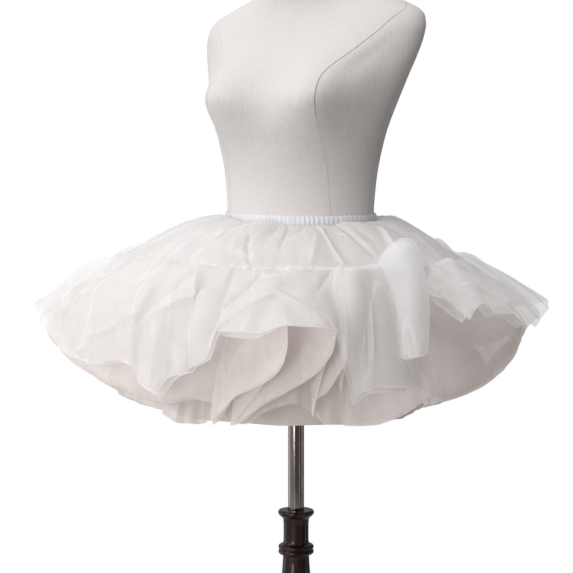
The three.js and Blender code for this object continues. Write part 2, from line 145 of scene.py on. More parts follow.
def make_piece(name, points, faces, material, layers=()):
    """A mesh piece from points in millimetres, smooth, on the object's one body."""
    mesh = bpy.data.meshes.new(name)
    points = np.asarray(points, float).reshape(-1, 3) * MM
    faces = np.asarray(faces)
    mesh.vertices.add(len(points))
    mesh.vertices.foreach_set("co", points.astype(np.float32).ravel())
    mesh.loops.add(faces.size)
    mesh.loops.foreach_set("vertex_index", faces.astype(np.int32).ravel())
    mesh.polygons.add(len(faces))
    starts = np.arange(len(faces)) * faces.shape[1]
    mesh.polygons.foreach_set("loop_start", starts.astype(np.int32))
    mesh.polygons.foreach_set("use_smooth", np.ones(len(faces), bool))
    for title, uv in layers:
        layer = mesh.uv_layers.new(name=title)
        layer.data.foreach_set("uv", uv.astype(np.float32).ravel())
    mesh.update()
    mesh.validate()
    mesh.materials.append(material)
    piece = put(name, mesh)
    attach(piece, "root")
    return piece


def quads(rows, columns, ring=True):
    """Four-cornered faces over a grid of points. A ring's last column meets its
    first."""
    down = np.arange(rows - 1)[:, None] * columns
    across = np.arange(columns if ring else columns - 1)
    right = (across + 1) % columns
    corners = [down + across, down + right, down + columns + right, down + columns + across]
    return np.stack(corners, -1).reshape(-1, 4)


def make_web(name, grid, material, ring=True):
    """A web of cloth or wood over a grid of points, rows by columns. In metres,
    its first uv layer is the distance along it and up from its last row, and its
    second the distance along and down from its first."""
    rows, columns = grid.shape[:2]
    across = np.arange(columns if ring else columns - 1)
    steps = np.linalg.norm(np.diff(grid, axis=0), axis=2).mean(1)
    down_from_top = np.concatenate([[0], np.cumsum(steps)]) * MM
    loop = np.concatenate([grid, grid[:, :1]], 1)
    run = np.linalg.norm(np.diff(loop, axis=1), axis=2).mean(0)
    along = np.concatenate([[0], np.cumsum(run)]) * MM
    u = np.stack([along[across], along[across + 1], along[across + 1], along[across]], -1)
    top, low = down_from_top[:-1], down_from_top[1:]
    v = np.stack([top, top, low, low], -1)
    from_top = np.empty((rows - 1, len(across), 4, 2))
    from_top[..., 0] = u[None]
    from_top[..., 1] = v[:, None]
    from_hem = from_top.copy()
    from_hem[..., 1] = down_from_top[-1] - from_hem[..., 1]
    layers = [("cut", from_hem), ("fall", from_top)]
    return make_piece(name, grid, quads(rows, columns, ring), material, layers)


def turn(name, profile, material, sides=96, fine=1.5):
    """A turned piece from its profile of (radius, height) from foot to top, with
    its corners rounded a little by two rounds of corner cutting."""
    profile = np.asarray(profile, float)
    for _ in range(2):
        start, end = profile[:-1], profile[1:]
        cut = np.minimum(0.25, fine / np.maximum(np.linalg.norm(end - start, axis=1), 1e-6))
        near = start + (end - start) * cut[:, None]
        far = end - (end - start) * cut[:, None]
        middle = np.stack([near, far], 1).reshape(-1, 2)
        profile = np.concatenate([profile[:1], middle, profile[-1:]])
    angle = np.linspace(0, 2 * math.pi, sides, endpoint=False)
    radius, height = profile[:, :1], profile[:, 1:]
    grid = np.stack(
        [radius * np.sin(angle), -radius * np.cos(angle), height + 0 * angle], -1
    )
    return make_web(name, grid[::-1], material)


def stained_wood():
    finish = new_finish("stained_wood")
    point = finish.place((1, 1, 0.16))
    grain = finish.noise(point, 90, 6, 0.6)
    pores = finish.noise(finish.place((1, 1, 0.05)), 900, 2)
    streak = grain.clamped(0.38, 0.68)
    colour = finish.blend(streak, (0.005, 0.002, 0.0017), (0.03, 0.011, 0.0078))
    rub = finish.noise(finish.place(), 14, 2)
    sockets = {
        "Base Color": colour,
        "Roughness": 0.3 + 0.2 * rub,
        "Specular IOR Level": 0.12,
        "Coat Weight": 0.3,
        "Coat Roughness": 0.06,
        "Normal": finish.bump(grain * 0.5 + pores, 0.0004, 0.35),
    }
    return finish.close(finish.skin(sockets))


wood = stained_wood()
foot_profile = [
    (0, 0),
    (FOOT_RADIUS - 3, 0),
    (FOOT_RADIUS, 3),
    (FOOT_RADIUS, 14),
    (FOOT_RADIUS - 7, 21),
    (FOOT_RADIUS - 30, 24),
    (FOOT_RADIUS - 75, 31),
    (FOOT_RADIUS - 105, 39),
    (FOOT_RADIUS - 118, FOOT_HEIGHT),
    (0, FOOT_HEIGHT),
]
foot = turn("foot", foot_profile, wood)
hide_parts("stand_base")

# Stand column
# A long turned baluster with a flange, a barrel and a double bead at its top,
# of the same stained wood, bored down its axis for the pole.
COLUMN_TOP = WAIST - 466
SEAM_GAP = 0.3  # between pieces that meet
POLE_RADIUS = 12.5
SOCKET_RADIUS = POLE_RADIUS + SEAM_GAP
SOCKET_DEPTH = 90
column_profile = [
    (0, FOOT_HEIGHT + SEAM_GAP),
    (24, FOOT_HEIGHT + SEAM_GAP),
    (30, FOOT_HEIGHT + 6),
    (31, FOOT_HEIGHT + 11),
    (30, FOOT_HEIGHT + 17),
    (24, FOOT_HEIGHT + 26),
    (21.5, FOOT_HEIGHT + 40),
    (21, FOOT_HEIGHT + 70),
    (24, FOOT_HEIGHT + 140),
    (26.5, FOOT_HEIGHT + 210),
    (27, FOOT_HEIGHT + 270),
    (25.5, FOOT_HEIGHT + 340),
    (23, COLUMN_TOP - 110),
    (21, COLUMN_TOP - 84),
    (20.5, COLUMN_TOP - 71),
    (26, COLUMN_TOP - 69.5),
    (28, COLUMN_TOP - 67),
    (27.4, COLUMN_TOP - 63.6),
    (25.4, COLUMN_TOP - 62.2),
    (27.4, COLUMN_TOP - 60.6),
    (28, COLUMN_TOP - 57.5),
    (26, COLUMN_TOP - 55),
    (20.5, COLUMN_TOP - 53),
    (19.6, COLUMN_TOP - 48),
    (19.6, COLUMN_TOP - 22),
    (20.5, COLUMN_TOP - 13),
    (25, COLUMN_TOP - 9),
    (28, COLUMN_TOP - 6),
    (28, COLUMN_TOP - 2),
    (26.6, COLUMN_TOP),
    (SOCKET_RADIUS, COLUMN_TOP),
    (SOCKET_RADIUS, COLUMN_TOP - SOCKET_DEPTH),
    (0, COLUMN_TOP - SOCKET_DEPTH),
]
column = turn("column", column_profile, wood, fine=0.8)
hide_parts("stand_column")

# Pole
# A straight steel tube, chromed and polished, that slides in the column's bore
# and carries the form at its top.
FORM_BOTTOM = -186  # from the waist
pole_bottom = COLUMN_TOP - SOCKET_DEPTH + SEAM_GAP
pole_top = WAIST + FORM_BOTTOM + SOCKET_DEPTH - SEAM_GAP


def chromed_steel():
    finish = new_finish("chromed_steel")
    drawn = finish.noise(finish.place((1, 1, 0.01)), 1500, 2)
    smears = finish.noise(finish.place((1, 1, 0.3)), 60, 3)
    sockets = {
        # painted reflection: the steel's colour is kept dark and warm for the dim, warm room it
        # reflects; the smears vary it at random
        "Base Color": finish.blend(smears, (0.22, 0.186, 0.17), (0.3, 0.262, 0.242)),
        "Metallic": 1.0,
        "Roughness": 0.1 + 0.06 * smears,
        "Normal": finish.bump(drawn, 0.0001, 0.2),
    }
    return finish.close(finish.skin(sockets))


pole_profile = [
    (0, pole_bottom),
    (POLE_RADIUS, pole_bottom),
    (POLE_RADIUS, pole_top),
    (0, pole_top),
]
pole = turn("pole", pole_profile, chromed_steel(), sides=64, fine=0.5)
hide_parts("stand_pole")

# Dress form
# A padded shell of a woman's body from hip to neck, with no limbs, under a
# stretched cover of off-white linen. The cover is seamed over both cups, down
# both sides and down the back.
FORM_TOP = 436
FORM_SECTIONS = [  # height from the waist, half width, half depth, how far back
    (FORM_BOTTOM, 132, 100, 0),
    (-182, 148, 114, 0),
    (-120, 143, 110, 0),
    (-60, 129, 98, 0),
    (-18, 121, 91, 0),
    (0, 120, 90, 0),
    (30, 121, 93, 0),
    (70, 125, 99, 0),
    (105, 132, 105, 0),
    (130, 139, 109, 0),
    (150, 146, 110, 2),
    (168, 153, 109, 5),
    (186, 160, 106, 9),
    (208, 169, 100, 14),
    (235, 180, 90, 22),
    (262, 188, 78, 31),
    (285, 189, 68, 38),
    (304, 178, 62, 44),
    (320, 146, 60, 48),
    (338, 104, 58, 46),
    (358, 78, 57, 38),
    (385, 62, 56, 28),
    (430, 58, 56, 22),
    (FORM_TOP, 50, 48, 22),
]
CUP_SIDE = 80
CUP_HEIGHT = 180
CUP_WIDE = 56
CUP_TALL = 50
CUP_FULL = 45
CUP_SPREAD = 0.35
FORM_ASIDE = 5
FORM_BEHIND = 3.5
FORM_LEAN = 0.012
SHOULDER_TILT = 0.032
TILT_FROM = 130  # height from the waist where the shoulders start to tilt
TILT_SPAN = 160
CUP_SEAM = [  # height from the waist, degrees from the front
    (-184, 49), (-100, 49), (0, 47.5), (54, 45), (99, 40.6), (136, 37.3), (166, 34.2), (188, 32),
    (209, 30), (223, 31.4), (237, 35.8), (259, 42), (292, 54), (305, 66), (315, 84),
]
SEAM_BREAK = 6  # how much flatter the cover is beyond that seam
BREAK_WIDTH = 16  # over how many degrees
BREAK_LOW = 90  # from this height from the waist
BREAK_HIGH = 290  # to this one
BREAK_FADE = 60


def ease(x):
    x = np.clip(x, 0, 1)
    return x * x * (3 - 2 * x)


def curve(start, leaving, end, arriving, t):
    """A cubic from start to end that leaves and arrives with given slopes."""
    return (
        start * (2 * t**3 - 3 * t**2 + 1)
        + leaving * (t**3 - 2 * t**2 + t)
        + end * (3 * t**2 - 2 * t**3)
        + arriving * (t**3 - t**2)
    )


def form_section(height):
    """Half width, half depth and setback of the form, through its sections."""
    rows = np.array(FORM_SECTIONS, float)
    slopes = np.gradient(rows[:, 1:], rows[:, 0], axis=0)
    low = np.clip(np.searchsorted(rows[:, 0], height, side="right") - 1, 0, len(rows) - 2)
    span = rows[low + 1, 0] - rows[low, 0]
    t = np.clip((height - rows[low, 0]) / span, 0, 1)[..., None]
    span = span[..., None]
    start, end = rows[low, 1:], rows[low + 1, 1:]
    value = curve(start, slopes[low] * span, end, slopes[low + 1] * span, t)
    return value[..., 0], value[..., 1], value[..., 2]


def form_surface(angle, height, proud=0):
    """Points of the form's cover, at angles in radians from its front."""
    width, depth, back = form_section(height)
    x = width * np.sin(angle)
    y = -depth * np.cos(angle)
    front = np.maximum(0, np.cos(angle))
    cups = sum(
        np.exp(-(((x - side) / CUP_WIDE) ** 2) - ((height - CUP_HEIGHT) / CUP_TALL) ** 2)
        for side in (-CUP_SIDE, CUP_SIDE)
    )
    out = CUP_FULL * np.minimum(1, cups) * np.sqrt(front)
    aside = np.abs((np.degrees(angle) + 180) % 360 - 180)
    past = aside - np.interp(height, *np.array(CUP_SEAM, float).T)
    full = ease((height - BREAK_LOW) / BREAK_FADE) * ease((BREAK_HIGH - height) / BREAK_FADE)
    out = out - SEAM_BREAK * full * ease(past / BREAK_WIDTH) * ease((90 - aside) / 30)
    lean = FORM_LEAN * height
    raised = SHOULDER_TILT * x * ease((height - TILT_FROM) / TILT_SPAN)
    return np.stack(
        [
            x * (1 + CUP_SPREAD * out / width) + FORM_ASIDE + lean + proud * np.sin(angle),
            y - out + back + FORM_BEHIND + 0.5 * lean - proud * np.cos(angle),
            WAIST + height + raised,
        ],
        -1,
    )


def form_linen():
    """Slubbed linen, drawn tight, a little yellowed in patches, and lightened low down towards the
    waist by painted light against the shade there.
    """
    finish = new_finish("form_linen")
    warp = finish.noise(finish.place((1, 1, 0.03)), 620, 4, 0.6)
    slub = finish.noise(finish.place((1, 1, 0.016)), 230, 3, 0.7)
    weft = finish.noise(finish.place((0.06, 0.06, 1)), 700, 3)
    patch = finish.noise(finish.place(), 9, 3)
    strain_and_gap_shade = finish.noise(finish.place((1, 1, 0.2)), 24, 2)
    threads = warp * 0.55 + slub * 0.45
    woven = finish.blend(threads.clamped(0.34, 0.68), (0.485, 0.459, 0.45), (0.545, 0.526, 0.521))
    aged_and_painted_light = finish.blend(patch.clamped(0.4, 0.8) * 0.35, woven, (0.53, 0.492, 0.466))
    height = finish.add("ShaderNodeSeparateXYZ", None, {0: finish.place()}, output=2)
    # painted light: below 1.17 m, and wholly below 1.05 m, the linen is blended towards a paler
    # colour to lift the shade near the waist
    painted_light_low = (1 - height.clamped(1.05, 1.17)) * 0.8
    aged_and_painted_light = finish.blend(painted_light_low, aged_and_painted_light, (0.63, 0.598, 0.588))
    sockets = {
        "Base Color": aged_and_painted_light,
        "Roughness": 0.82 + 0.1 * slub,
        "Sheen Weight": 0.1,
        "Sheen Roughness": 0.5,
        "Normal": finish.bump(warp * 0.7 + weft * 0.4 + slub + strain_and_gap_shade * 5, 0.0005, 0.28),
    }
    return finish.close(finish.skin(sockets))


linen = form_linen()
form_angles = np.linspace(0, 2 * math.pi, 176, endpoint=False)
form_heights = np.concatenate(
    [
        np.linspace(FORM_BOTTOM, 90, 40, endpoint=False),
        np.linspace(90, 345, 84, endpoint=False),
        np.linspace(345, FORM_TOP, 26),
    ]
)
form_grid = form_surface(form_angles[None], form_heights[:, None])


def shut(grid, end, inset=(0.97, 0.9, 0.6, 0.3, 0.0), dome=0.0):
    """Rings that close an end of a body, drawn in to their middle."""
    middle = grid[end].mean(0)
    lift = np.array([0, 0, dome])
    rings = [middle + (grid[end] - middle) * share + lift * (1 - share**2) for share in inset]
    return np.stack(rings if end else rings[::-1])


form_grid = np.concatenate([shut(form_grid, 0), form_grid, shut(form_grid, -1, dome=5)])
form = make_web("form", form_grid[::-1], linen)
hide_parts("form_body")

# Form seams
# The cover's seams: narrow pressed welts with a groove between their two edges,
# over each cup from the shoulder to the hip, down the sides, and three down the
# back. The left cup strains its own, which gapes a little; the shade in that gap
# is painted on the thread as a near-black colour.
SEAM_WIDTH = 1.3
SEAM_PROUD = 0.3
STRAIGHT_SEAM = [(-184, 0), (340, 0), (380, 0), (432, 0)]
GAP_SHADE_FROM = 1.175  # height from the floor in metres where the painted shade on the gaping seam begins
GAP_SHADE_WHOLE = 1.225


def seam_line(marks, side, turned):
    """Angles and heights along a seam, from marks of its height and degrees."""
    heights = np.linspace(marks[0][0], marks[-1][0], 150)
    degrees = np.interp(heights, *np.array(marks, float).T)
    for _ in range(6):
        degrees[1:-1] = (degrees[:-2] + 2 * degrees[1:-1] + degrees[2:]) / 4
    return np.radians(turned + side * degrees), heights


def welt(angles, heights):
    """A flat ribbon on the cover along a seam, low at its edges."""
    radius = np.hypot(*form_section(heights)[:2]) / math.sqrt(2)
    step = SEAM_WIDTH / 2 / radius
    edges = [(-1, -0.25), (-0.5, 1), (0, 0.35), (0.5, 1), (1, -0.25)]
    return np.stack(
        [form_surface(angles + side * step, heights, SEAM_PROUD * up) for side, up in edges]
    )


def seam_thread(name, strain_and_gap_shade):
    """Thread of the cover's colour. Where a cup pulls its seam open, painted shade for the gap
    darkens it to near black from a height up.
    """
    finish = new_finish(name)
    worn = finish.noise(finish.place((1, 1, 0.3)), 160, 3)
    pale = finish.blend(worn, (0.42, 0.39, 0.37), (0.54, 0.52, 0.5))
    height = finish.add("ShaderNodeSeparateXYZ", None, {0: finish.place()}, output=2)
    # painted shade: the shade inside the gaping seam, as a near-black colour above a height
    gap_shade = height.clamped(GAP_SHADE_FROM, GAP_SHADE_WHOLE) * strain_and_gap_shade
    sockets = {
        "Base Color": finish.blend(gap_shade, pale, (0.07, 0.06, 0.055)),
        "Roughness": 0.88,
        "Normal": finish.bump(worn, 0.0004, 0.5),
    }
    return finish.close(finish.skin(sockets))


thread = seam_thread("seam_thread", 0.0)
# the left cup's seam thread, with painted shade for its gap
gap_shaded_thread = seam_thread("gap_shaded_thread", 0.62)
seams = {
    "seam_cup_left": (CUP_SEAM, 1, 0),
    "seam_cup_right": (CUP_SEAM, -1, 0),
    "seam_back_left": (CUP_SEAM, -1, 180),
    "seam_back_right": (CUP_SEAM, 1, 180),
    "seam_side_left": (STRAIGHT_SEAM[:2], 1, 90),
    "seam_side_right": (STRAIGHT_SEAM[:2], 1, -90),
    "seam_back": (STRAIGHT_SEAM, 1, 180),
}
for name, (marks, side, turned) in seams.items():
    used = gap_shaded_thread if name == "seam_cup_left" else thread
    line = make_web(name, welt(*seam_line(marks, side, turned)), used, ring=False)

# Casing
# A band of organza folded over elastic and stitched twice, which draws it up into
# small uneven gathers. Its grip on the form's waist holds the whole skirt up.
RUFFLE_TURN = 30  # degrees from the form's front to the ruffles' fullest side
CASING_HEIGHT = 14
CASING_CLEARANCE = 0.7
CASING_THICKNESS = 2.4
GATHER_DEPTH = 1
ORGANZA = 1.2
PURE_WHITE = (0.92, 0.918, 0.92)
SOFT_WHITE = (0.88, 0.872, 0.87)


def table(names, rows):
    """Rows of numbers whose columns have names."""
    return np.array(rows, [(name, float) for name in names.split()])


def place(angle, radius, height):
    """A point of the cloth, its angle in degrees from the ruffles' fullest side."""
    a = np.radians(angle + RUFFLE_TURN)
    spots = np.broadcast_arrays(radius * np.sin(a), -radius * np.cos(a), WAIST + height)
    return np.stack(spots, -1)


def form_radius(angle, height):
    """The form's radius at a height, in the direction of an angle of the cloth."""
    width, depth, _ = form_section(np.asarray(height, float))
    lean = FORM_LEAN * height
    a = np.radians(angle + RUFFLE_TURN)
    ray = np.sin(a) / width, -np.cos(a) / depth
    middle = (FORM_ASIDE + lean) / width, (FORM_BEHIND + 0.5 * lean) / depth
    square = ray[0] ** 2 + ray[1] ** 2
    along = ray[0] * middle[0] + ray[1] * middle[1]
    rest = middle[0] ** 2 + middle[1] ** 2 - 1
    return (along + np.sqrt(along**2 - square * rest)) / square


def ripple(angle, seed, fewest, most, slant=0.0, v=0.0):
    """Uneven waves round the skirt, from about -1 to 1. With slant they run
    askew, this way and that, over the cloth's fall v."""
    chance = np.random.default_rng(seed)
    a = np.radians(angle)
    total = 0
    for _ in range(11):
        waves = chance.integers(fewest, most + 1)
        start = chance.uniform(0, 2 * math.pi)
        skew = chance.uniform(-slant, slant)
        total = total + np.cos(waves * a + start + skew * v)
    return total / 4


def billow(angle, seed, fewest, most, slant=0.0, v=0.0):
    """Round puffs with narrow creases between them, from 0 to about 1."""
    return np.sqrt(ripple(angle, seed, fewest, most, slant, v) ** 2 + 0.012) - 0.11


def organza(name, cover, light, shade, hemmed=1.0, lapped=0.0):
    """Sheer white cloth. cover is how little shows through one layer of it, and
    hemmed is how much whiter and denser its lower edge is. Over the first metres
    that lapped names, it melts into the cloth it is sewn on."""
    finish = new_finish(name)
    point = finish.place(across=True)
    warp = finish.noise(finish.place((1, 0.06, 1), across=True), 900, 3)
    weft = finish.noise(finish.place((0.06, 1, 1), across=True), 900, 3)
    cloud = finish.noise(point, 13, 3, 0.6)
    crush = finish.noise(finish.place((1, 0.45, 1), across=True), 42, 4, 0.55)
    long = finish.noise(finish.place((1, 0.3, 1), across=True), 11, 2, 0.5) - 0.5
    short = finish.noise(finish.place((1, 0.5, 1), across=True), 30, 2, 0.5) - 0.5
    long = long.math("ABSOLUTE", long)
    short = short.math("ABSOLUTE", short)
    pressed = 1 - long.clamped(0.0, 0.03)
    edge = finish.add("ShaderNodeSeparateXYZ", None, {0: point}, output=1)
    top = finish.add("ShaderNodeUVMap", {"uv_map": "fall"})
    top = finish.add("ShaderNodeSeparateXYZ", None, {0: top}, output=1)
    rolled = hemmed * (1 - edge.clamped(0.0012, 0.0026)) * cloud.clamped(0.36, 0.62)
    thread = (warp + weft) * 0.5
    colour = finish.blend(cloud * 0.7 + crush * 0.3, shade, light)
    normal = finish.bump(thread * 0.12 + crush * 0.3 + long * 5 + short * 1.6, 0.002, 0.45)
    cloth = finish.skin(
        {
            "Base Color": finish.blend(rolled * 0.6, colour, (0.95, 0.945, 0.94)),
            "Roughness": 0.62 + 0.2 * thread,
            "Sheen Weight": 0.2,
            "Sheen Roughness": 0.35,
            "Specular IOR Level": 0.3,
            "Normal": normal,
        }
    )
    glow = finish.add("ShaderNodeBsdfTranslucent", None, {"Color": colour, "Normal": normal})
    lit = finish.add("ShaderNodeMixShader", None, {0: 0.52, 1: cloth, 2: glow})
    clear = finish.add("ShaderNodeBsdfTransparent", None, {"Color": (1, 1, 1, 1)})
    solid = cover + 0.14 * (crush - 0.5) + 0.1 * (cloud - 0.5) + 0.27 * rolled + 0.12 * pressed
    whole = solid.math("MINIMUM", solid, 1.0)
    if lapped:
        whole = whole * top.clamped(0.0, lapped)
    return finish.close(finish.add("ShaderNodeMixShader", None, {0: whole, 1: clear, 2: lit}))


def tube(name, surface, columns, rows, material, node):
    """A ring of cloth on surface(angle, v), from its top edge v = 0 to its hem."""
    angle = np.linspace(-180, 180, columns, endpoint=False)[None]
    v = np.asarray(rows, float)[:, None]
    piece = make_web(name, surface(angle, v), material)
    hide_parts(node)
    return piece


casing_cloth = organza("casing_organza", 0.97, (0.95, 0.955, 0.975), (0.92, 0.925, 0.945))


def casing_surface(angle, t):
    """The folded band's face, from inside at its middle, over its top and down."""
    turn = 2 * math.pi * t
    across = 0.5 - 0.5 * np.cos(turn)
    up = np.sin(turn)
    height = -CASING_HEIGHT / 2 + CASING_HEIGHT / 2 * np.sign(up) * np.abs(up) ** 0.6
    edge = np.abs(up) ** 8
    gathers = ripple(angle, 3, 78, 104, 1.2, height / CASING_HEIGHT)
    small = ripple(angle, 4, 150, 210, 2, height / CASING_HEIGHT)
    stitched = np.exp(-(((height + 3.4) / 0.9) ** 2)) + np.exp(-(((height + 11) / 0.9) ** 2))
    swell = GATHER_DEPTH * (0.75 * gathers + 0.25 * small) * (1 - 0.4 * stitched)
    out = CASING_THICKNESS * across + across * (swell + 0.5 - 0.9 * stitched)
    frill = 0.8 * ripple(angle, 5, 70, 110) * edge * np.where(up > 0, 1, 0.3)
    radius = form_radius(angle, height) + CASING_CLEARANCE + np.maximum(out, 0)
    return place(angle, radius, height + frill)


casing = tube("casing", casing_surface, 1040, np.linspace(0, 1, 25), casing_cloth, "waistband")

# Lining
# A plain flared slip of soft cotton under the ruffles. It hangs lowest of all,
# and the two under ruffles are sewn round it.
LINING_REACH = 196
LINING_DROP = 302
LINING_TOP = -CASING_HEIGHT - SEAM_GAP
LINING = 1  # how thick the slip's solid is
FLUTES = 7
FLUTE_DEPTH = 4
MIDDLE_SEAM = -96
INNER_SEAM = -168


def down_lining(height):
    """The v at which the lining is at a height."""
    return (LINING_TOP - height) / (LINING_DROP + LINING_TOP)


def lining_surface(angle, v):
    height = LINING_TOP + (-LINING_DROP - LINING_TOP) * v
    waist = form_radius(angle, LINING_TOP) + CASING_CLEARANCE + LINING
    flute = FLUTE_DEPTH * v * v * np.cos(np.radians(FLUTES * angle + 20))
    soft = 1.6 * v * ripple(angle, 11, 9, 26, 1.5, v)
    radius = waist + (LINING_REACH - waist) * np.clip(v, 0, 1) ** 0.75 + flute + soft
    return place(angle, radius, height + 1.2 * v * ripple(angle, 12, 4, 14))


def on_lining(angle, height):
    """The lining's radius at a height, for what is sewn on it."""
    return np.hypot(*np.moveaxis(lining_surface(angle, down_lining(height))[..., :2], -1, 0))


def lining_cotton():
    finish = new_finish("lining_cotton")
    weave = finish.noise(finish.place(across=True), 1400, 2)
    crush = finish.noise(finish.place((1, 0.5, 1), across=True), 28, 4, 0.6)
    # partly the slip's own pale tone and partly painted shade: darkened to grey-mauve for the shade
    # beneath the ruffles
    colour = finish.blend(crush, (0.64, 0.59, 0.565), (0.74, 0.7, 0.68))
    sockets = {
        "Base Color": colour,
        "Roughness": 0.85,
        "Normal": finish.bump(crush + 0.2 * weave, 0.002, 0.4),
    }
    cloth = finish.skin(sockets)
    glow = finish.add("ShaderNodeBsdfTranslucent", None, {"Color": colour})
    return finish.close(finish.add("ShaderNodeMixShader", None, {0: 0.15, 1: cloth, 2: glow}))


lining = tube(
    "slip_lining", lining_surface, 480, np.linspace(0, 1, 40), lining_cotton(), "lining",
)

# Inner ruffle
# A long strip of organza gathered on to the lower part of the lining. Its hem
# shows under the others as short crowded waves.
# at is where a point of the hem leaves the seam and angle where it hangs, still
# is how little it waves, and curl how far it rolls under.
UNDER_HEM = "at angle reach height still curl"
INNER_HEM = table(
    UNDER_HEM,
    [
        (-180, -180, 256, -292, 0, 0.3), (-135, -135, 274, -280, 0, 0.3),
        (-90, -90, 300, -246, 0, 0.3), (-60, -60, 290, -272, 0, 0.3),
        (-42, -42, 292, -276, 0, 0), (-36, -36, 286, -287, 0, 0), (-29, -29, 276, -285, 0, 0),
        (-25, -25, 268, -268, 0, 0), (-20, -20, 270, -278, 0, 0), (-17, -17, 270, -284, 0.6, 0),
        (-8, -8, 272, -262, 0.8, 0), (0, 0, 276, -252, 0.8, 0), (4, 4, 272, -262, 0.8, 0),
        (10, 10, 270, -284, 0.4, 0), (16, 16, 270, -280, 0.4, 0), (45, 45, 274, -276, 0, 0.3),
        (90, 90, 292, -246, 0, 0.3), (135, 135, 272, -282, 0, 0.3),
    ],
)


def around(rows, column, angle, key="at"):
    """A value read from a table at an angle round the skirt, with no overshoot."""
    start = rows[key][0]
    turned = start + (angle - start) % 360
    marks = np.concatenate([[rows[key][-1] - 360], rows[key], [start + 360, rows[key][1] + 360]])
    values = rows[column]
    wound = 360.0 if column == "angle" else 0.0
    values = np.concatenate([[values[-1] - wound], values, [values[0] + wound, values[1] + wound]])
    spans = np.diff(marks)
    rise = np.diff(values) / spans
    same = rise[:-1] * rise[1:] > 0
    joint = np.where(same, rise[:-1] + rise[1:], 1)
    slope = np.where(same, 2 * rise[:-1] * rise[1:] / joint, 0)
    slope = np.append(slope, slope[0])
    low = np.clip(np.searchsorted(marks, turned, side="right") - 1, 1, len(rows))
    span = spans[low]
    t = (turned - marks[low]) / span
    return curve(values[low], slope[low - 1] * span, values[low + 1], slope[low] * span, t)


def bend(start, pull, end, v):
    return (1 - v) ** 2 * start + 2 * v * (1 - v) * pull + v * v * end


CURL = 15  # radius of the roll where a hem turns under
CURLED = 1.14  # the v at which such a hem ends


def sewn_ruffle(angle, v, hem, seam_height, waves, size, frilled, seed):
    """A ruffle on the lining, gathered into uneven waves that widen to its hem.
    Its table may turn the hem's direction away from the seam's, or curl it under."""
    at = around(hem, "angle", angle)
    still = around(hem, "still", angle)
    curl = CURL * around(hem, "curl", angle)
    reach = around(hem, "reach", angle)
    low = around(hem, "height", angle) + curl
    seam = on_lining(angle, seam_height) + SEAM_GAP + 0.6 * ORGANZA
    bulge = 0.8 + 0.012 * curl
    fall = np.minimum(v, 1)

    def profile(share):
        radius = bend(seam, seam + bulge * (reach - seam), reach, share)
        height = bend(seam_height, seam_height + 0.24 * (low - seam_height), low, share)
        return radius, height

    radius, height = profile(fall)
    far, deep = profile(fall + 0.02)
    slope = np.arctan2(height - deep, far - radius)
    turn = np.radians(125) * np.clip((v - 1) / (CURLED - 1), 0, 1)
    radius = radius - curl * (1 - np.cos(turn)) - 0.5 * curl * (turn / 2)
    height = height - curl * np.sin(turn) - 3 * (curl == 0) * turn
    a = np.radians(angle)
    uneven = 0.75 + 0.25 * np.sin(5 * a + 1) * np.cos(2 * a)
    wave = np.cos(waves * a + 0.9 * np.sin(2 * a) + 0.6 * np.sin(5 * a))
    big = size * uneven * wave * fall**1.5 * (1 - still)
    frill = frilled * fall**3 * ripple(angle, seed, 60, 110, 1.5, v) * (1 - 0.8 * still)
    tuck = 1.6 * np.exp(-v / 0.16) * ripple(angle, seed + 1, 110, 170, 2, v)
    puffs = 4 * np.sin(np.pi * np.clip(v, 0, 1)) ** 0.7 * ripple(angle, seed + 2, 5, 15, 5, v)
    out = big * (1 - 0.6 * curl / CURL) + frill + tuck + puffs * (1 - 0.6 * still)
    side = 0.7 * frill + 3 * fall**2 * ripple(angle, seed + 3, 24, 60, 2, v) * (1 - still)
    direction = angle + (at - angle) * ease(fall * 1.15) + np.degrees(side / 300)
    return place(direction, radius + out * np.sin(slope), height + out * np.cos(slope))


# painted shade: the same white organza, made darker and warmer here for the warm shade beneath the
# outer ruffles
shaded_under_cloth = organza("under_organza_painted_shade", 0.76, (0.83, 0.8, 0.78), (0.77, 0.735, 0.71))


def inner_surface(angle, v):
    return sewn_ruffle(angle, v, INNER_HEM, INNER_SEAM, 28, 7, 3.4, 21)


inner = tube("inner_ruffle_cloth", inner_surface, 1200, np.linspace(0, CURLED, 40), shaded_under_cloth,
             "inner_ruffle")

